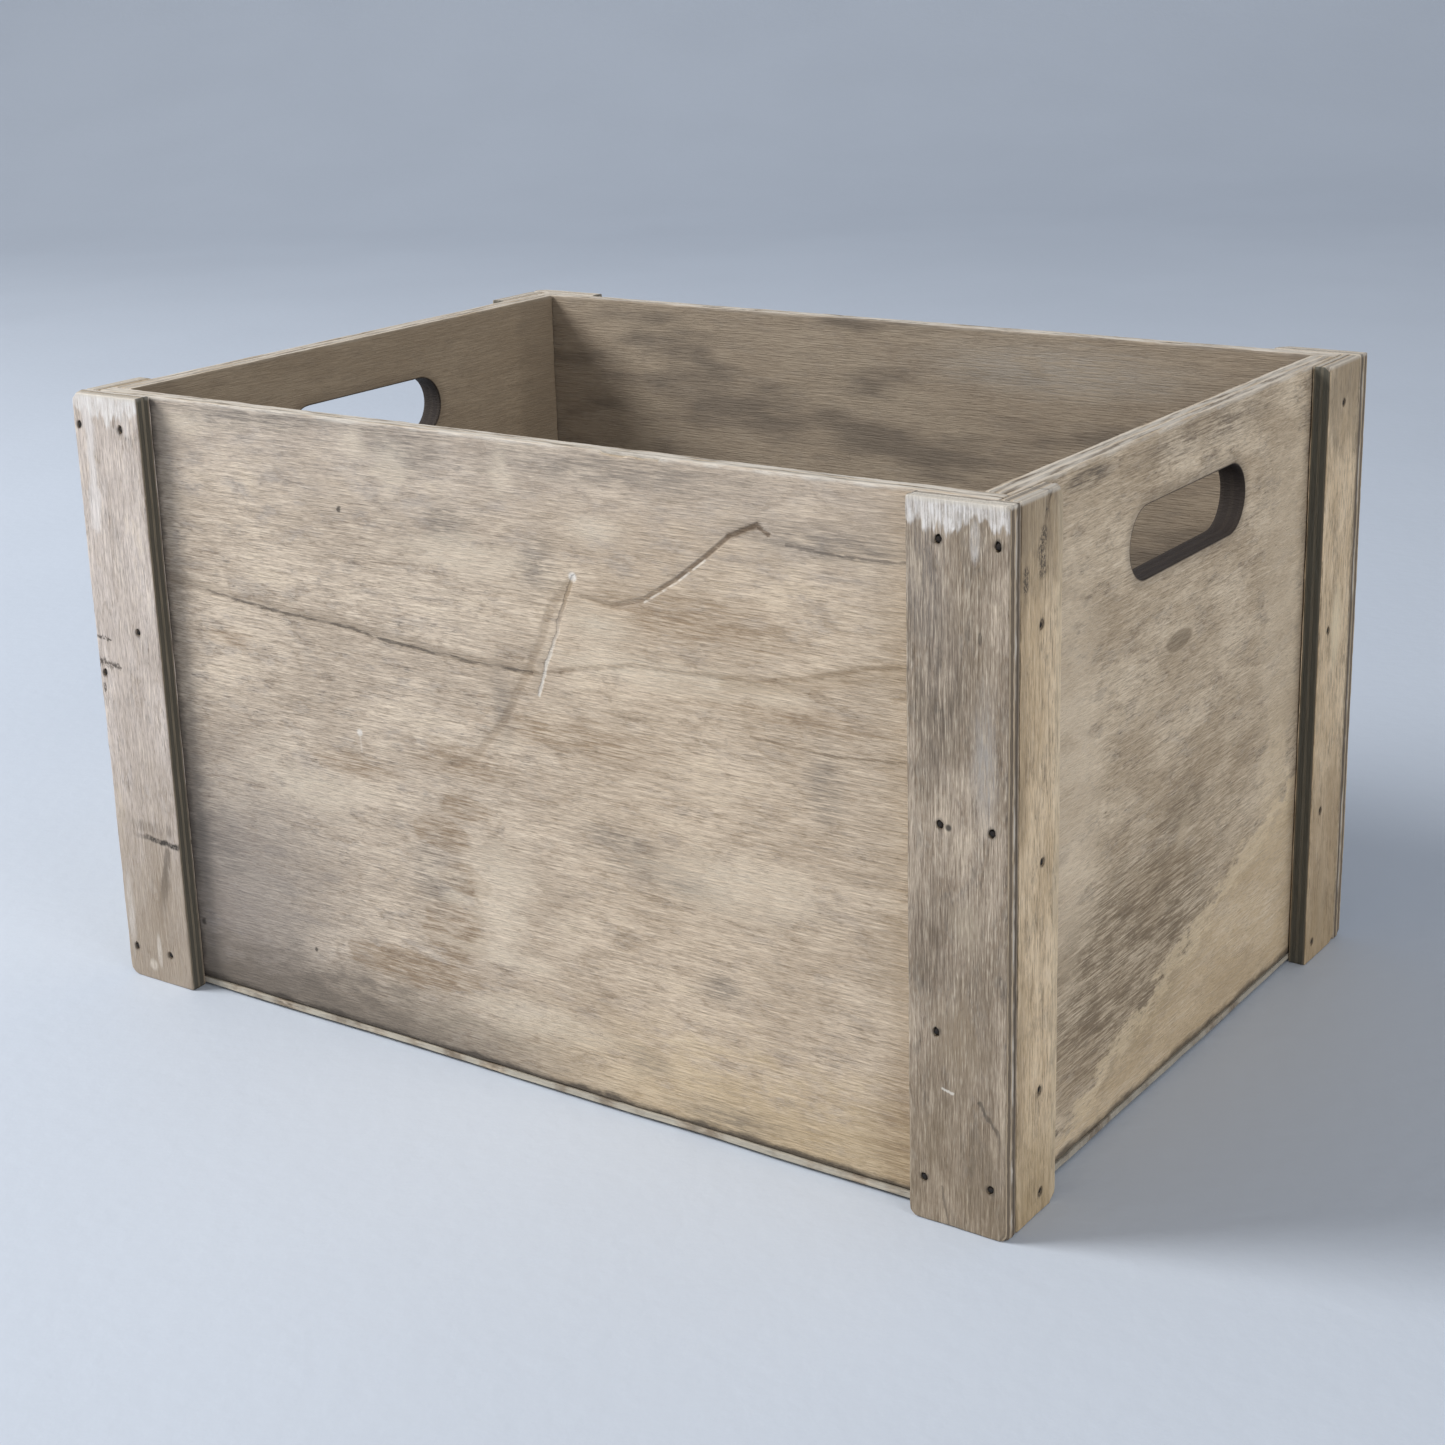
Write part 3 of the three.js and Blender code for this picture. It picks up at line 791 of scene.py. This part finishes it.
def left_wide_marks(f, x, z):
    wash = f.stroke(f.ragged(x, 5), f.ragged(z, 12), [(-241, 300), (-240, 248), (-242, 234)], 5.0)
    f.tint(wash * 0.55, paint(238, 233, 230))
    f.tint(f.spot(x, z, (-246, 34), (2.6, 20), 0.9, 0.7) * 0.6, paint(230, 224, 218))
    f.tint(f.spot(x, z, (-227.5, 17), (1.6, 8), 0.6, 0.6) * 0.8, paint(234, 226, 216))
    f.tint(f.spot(x, z, (-233, 8), (3, 3), 0.8, 0.6) * 0.7, paint(228, 219, 206))
    f.tint(f.spot(x, z, (-222, 48), (9, 36), 1.2, 0.7) * 0.45, paint(146, 128, 106))
    stain = f.stroke(f.ragged(x, 5), f.ragged(z, 5), [(-215, 72), (-218, 56), (-221, 44), (-225, 28)], 3.0)
    f.tint(stain * z.ramp(26, 60) * 0.55, paint(92, 82, 70))
    torn = f.grainy(3, 2.5, 3.0, 1.9, 0.7).ramp(0.38, 0.56)
    gash = f.stroke(f.ragged(x, 3), f.ragged(z, 2.4), [(-241, 78), (-224, 76.8), (-206, 76.2)], 2.1)
    f.tint(gash * x.ramp(-243, -220) * (torn * 0.4 + 0.55), paint(44, 38, 33))
    bruise = f.stroke(x, z, [(-236, 82.5), (-213, 83.5)], 4.5)
    f.tint(bruise * f.dashes.ramp(0.4, 0.6) * 0.5, paint(96, 84, 71))
    for start, stop, width in (((-250, 166), (-244.5, 165), 3.0), ((-242, 165), (-236, 163.6), 2.2),
                               ((-248, 153), (-247.6, 149), 1.8), ((-249, 178.4), (-240, 177.6), 1.1)):
        smudge = f.stroke(f.ragged(x, 4), f.ragged(z, 4), [start, stop], width)
        f.tint(smudge * torn * 0.85, paint(58, 49, 42))


def wide_finish(corner, sx, sy, seed, nails):
    f = Ply(f"wide_batten_{corner}_ply", f"wide_batten_{corner}", "Z", sy, seed)
    x, z = f.at["X"], f.at["Z"]
    inward = HALF_LENGTH - x * sx
    # The near batten gets darker colours and the left one paler ones: partly their own tone, partly painted
    # light and shade from the lamp on the left.
    if corner == "front_right":
        f.weather(paint(182, 166, 148), paint(149, 134, 116), paint(126, 119, 110), checks=0.7)
        near_wide_marks(f, x, z)
        old_paint(f, x, 289, seed, (235.5, 284))
    elif corner == "front_left":
        f.weather(paint(217, 205, 197), paint(199, 186, 176), paint(188, 179, 173), checks=0.4)
        f.tint(f.ragged(z, 60).ramp(150, 10) * 0.72, paint(154, 138, 118))
        left_wide_marks(f, x, z)
        old_paint(f, x, 290, seed, (-214, 288))
    else:
        f.weather(paint(206, 188, 162), paint(170, 152, 128), paint(150, 140, 126), checks=0.6)
    rust_marks(f, x, z, nails, 0.62)
    f.show_plies(RIM, pale=0.9)
    ply_line = f.edge * inward.ramp(2.0, 0.5)
    bright = f.noise(f.depth, z, seed + 7.0, (40, 26), 3.0).ramp(0.42, 0.6)
    f.tint(ply_line * (f.depth - 5.4).math("ABSOLUTE").ramp(1.0, 0.3) * bright * 0.75, paint(214, 206, 194))
    f.tint(ply_line * (f.depth - 7.6).math("ABSOLUTE").ramp(1.5, 0.7) * 0.6, paint(66, 60, 54))
    # The sawn inner side is darkened: partly the end grain's own dark colour, partly painted shade where it
    # faces away from the lamp and meets the panel.
    inner_side_and_shade = inward.ramp(42.6, 43.4)
    f.tint(inner_side_and_shade * f.edge * 0.72, paint(62, 64, 58))
    return f.finished(0.84, bump_mm=0.4)


CORNERS = (("front_right", 1, -1), ("front_left", -1, -1), ("rear_right", 1, 1), ("rear_left", -1, 1))
WIDE_CHIPS = {
    "front_right": [((208.6, -174, 0.6), (-1.0, 0, -0.75)), ((249, -178, 2), (0.8, -0.6, -0.6)),
                    ((249.4, -178, 297), (0.6, -0.5, 0.7))],
    "front_left": [((-248.6, -176, 1.6), (-0.8, -0.3, -0.8)), ((-249.2, -176, 296.8), (-0.7, -0.3, 0.7))],
    "rear_right": [((249, 177, 2), (0.7, 0.5, -0.6)), ((208, 177, 297), (-0.7, 0.4, 0.8))],
    "rear_left": [((-249, 177, 1.6), (-0.7, 0.5, -0.6)), ((-249, 177, 296.5), (-0.6, 0.5, 0.7))],
}
for seed, (corner, sx, sy) in enumerate(CORNERS):
    own_nails = [n for n in NAIL_NODES if n.startswith(f"nail_{corner}_side")]
    worn_board(
        f"wide_batten_{corner}",
        wide_finish(corner, sx, sy, 6.0 + seed, own_nails),
        6 + seed,
        wear=0.75,
        shape=batten_shape(WIDE_CHIPS[corner], 60 + seed),
        cutter=nail_pits(own_nails, 1),
    )


# ---- Narrow battens ----
# Four 9 mm plywood strips on the end faces, butted behind the wide ones and nailed into the end
# panels. They have kept more of their yellow colour, and the front one is split at its head.

SPLIT = [(-146.0, 298), (-147.5, 293), (-150, 286)]


def narrow_finish(corner, sx, seed, nails):
    f = Ply(f"narrow_batten_{corner}_ply", f"narrow_batten_{corner}", "Z", sx, seed)
    y, z = f.at["Y"], f.at["Z"]
    f.weather(paint(241, 217, 182), paint(215, 190, 154), paint(184, 166, 140), checks=0.65)
    f.tint(f.ragged(z, 34).ramp(238, 286) * 0.55, paint(136, 122, 103))
    f.tint(f.ragged(z, 26).ramp(60, 6) * 0.45, paint(160, 138, 98))
    if corner == "front_right":
        f.tint(y.ramp(-160, -169) * f.grainy(60, 5, 2.0, 3.1).ramp(0.35, 0.6) * 0.5, paint(136, 116, 90))
        f.tint(f.ragged(y, 3).ramp(-142, -139) * 0.35, paint(222, 206, 178))
        pits = f.noise(y, z, 3.1, (0.9, 1.5), 3.0, 0.75).ramp(0.4, 0.58)
        rot = f.stroke(f.ragged(y, 3), z, [(-151.8, 283), (-153.6, 277), (-152.6, 269)], 4.6)
        f.tint((rot + f.stroke(y, z, [(-165.6, 271), (-166, 265)], 3.2)) * pits * 0.85, paint(58, 52, 46))
        split = f.stroke(f.ragged(y, 2.4), f.ragged(z, 3), SPLIT, 1.7) * z.ramp(283, 290)
        f.tint(split * 0.95, paint(30, 27, 25))
        f.height = f.height - split * 3
    if corner == "rear_right":
        f.tint(f.spot(y, z, (152.5, 170), (6, 20), 1.2, 0.7) * 0.6, paint(255, 240, 206))
        f.tint(f.spot(y, z, (147.5, 142.7), (3, 6), 0.8, 0.6) * 0.45, paint(122, 106, 86))
        f.tint(f.spot(y, z, (150, 30), (4, 28), 1.2, 0.7) * 0.45, paint(214, 196, 166))
        f.tint(f.ragged(z, 30).ramp(120, 70) * 0.4, paint(150, 128, 100))
        f.tint(f.ragged(y, 3).ramp(167, 171) * 0.5, paint(96, 84, 70))
    rust_marks(f, y, z, nails, 0.72)
    f.show_plies(RIM, pale=0.7)
    out = y.math("ABSOLUTE")
    inner_edge = min(abs(side[1]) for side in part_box(f"narrow_batten_{corner}")) / MM
    # The inner sawn edge is darkened: partly the end grain's own dark colour, partly painted shade in the
    # corner against the end panel.
    f.tint(out.ramp(inner_edge + 0.9, inner_edge + 0.3) * f.edge * 0.85, paint(72, 72, 64))
    return f.finished(0.83, bump_mm=0.35)


def split_shape(points):
    """Opens the split in the head of the front batten."""
    moved = batten_shape(NARROW_CHIPS["front_right"], 70)(points)
    outer = points[:, 0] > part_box("narrow_batten_front_right")[1][0] / MM - 1.5
    gap = groove(points[:, [1, 0, 2]], SPLIT, 0.9, 1.6)
    moved[:, 0] -= np.where(outer, gap, 0)
    return moved


NARROW_CHIPS = {
    "front_right": [((249, -137, 2), (0.7, 0.6, -0.7)), ((249, -137, 297), (0.7, 0.7, 0.5))],
    "front_left": [((-249, -137, 2), (-0.7, 0.6, -0.7))],
    "rear_right": [((249, 168, 2), (0.7, 0.6, -0.7)), ((249, 133, 297), (0.6, -0.6, 0.7))],
    "rear_left": [((-249, 168, 297), (-0.7, 0.6, 0.7))],
}
for seed, (corner, sx, _) in enumerate(CORNERS):
    own_nails = [n for n in NAIL_NODES if n.startswith(f"nail_{corner}_end")]
    shape = split_shape if corner == "front_right" else batten_shape(NARROW_CHIPS[corner], 70 + seed)
    worn_board(
        f"narrow_batten_{corner}",
        narrow_finish(corner, sx, 10.0 + seed, own_nails),
        10 + seed,
        wear=0.65,
        shape=shape,
        cutter=nail_pits(own_nails, 0),
    )


# ---- Nails ----
# Wire nails with a small flat head, driven a little below the surface and long since rusted dark.
# The shank has grip rings under the head and tapers to a point.

NAIL_LEVELS = ((-0.12, 0.35), (-0.08, 0.9), (0.1, 1.3), (0.35, 1.4), (0.75, 1.38), (0.9, 1.1), (1.05, 0.75))
NAIL_SEGMENTS = 16


def nail_finish():
    f = Finish("nail_rust")
    place = f.node("TexCoord", output="Object")
    rust = f.node("TexNoise", {}, {"Vector": place, "Scale": 900.0, "Detail": 3.0})
    f.colour = f.blend(rust.ramp(0.4, 0.65), paint(26, 23, 21), paint(48, 38, 31))
    f.height = rust
    f.surface.inputs["Metallic"].default_value = 0.2
    return f.finished(rust.ramp(0.2, 0.8) * 0.25 + 0.65, bump_mm=0.08)


rusty = nail_finish()


def add_nail(name, axis, facing, top, length, seed):
    grips = [(1.6 + 0.45 * i, 0.75 if i % 2 else 0.68) for i in range(8)]
    levels = [*NAIL_LEVELS, *grips, (length - 2.0, 0.75), (length - 0.2, 0.15)]
    rings = [ring_round(axis, facing, top, depth, radius, NAIL_SEGMENTS, seed) for depth, radius in levels]
    nail = lofted(name, rings, rusty)
    nail.data.shade_smooth()
    nail.data.set_sharp_from_angle(angle=math.radians(50))
    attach(nail, "root")
    return nail


for seed, node in enumerate(NAIL_NODES):
    axis, facing, top = nail_axes(node)
    low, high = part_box(node)
    length = (high[axis] - low[axis]) / MM
    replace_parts(add_nail("wire_" + node, axis, facing, top, length, seed), node)

# The rest of the row under the floor sheet, between the ones above.
FLOOR_NAIL_LENGTH = 14
FLOOR_NAIL_Y = nail_axes("nail_floor_rear_1")[2][1]
FLOOR_NAIL_Z = nail_axes("nail_floor_rear_1")[2][2]
FLOOR_END_X = (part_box("right_end_panel")[0][0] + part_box("right_end_panel")[1][0]) / 2 / MM
extra = [(x, side * FLOOR_NAIL_Y) for side in (-1, 1) for x in (-127, -63, 63, 127)]
extra += [(side * FLOOR_END_X, y) for side in (-1, 1) for y in (-110, -37, 37, 110)]
for number, (x, y) in enumerate(extra):
    top = np.array([x, y, FLOOR_NAIL_Z])
    add_nail(f"wire_nail_floor_between_{number + 1}", 2, -1, top, FLOOR_NAIL_LENGTH, number)
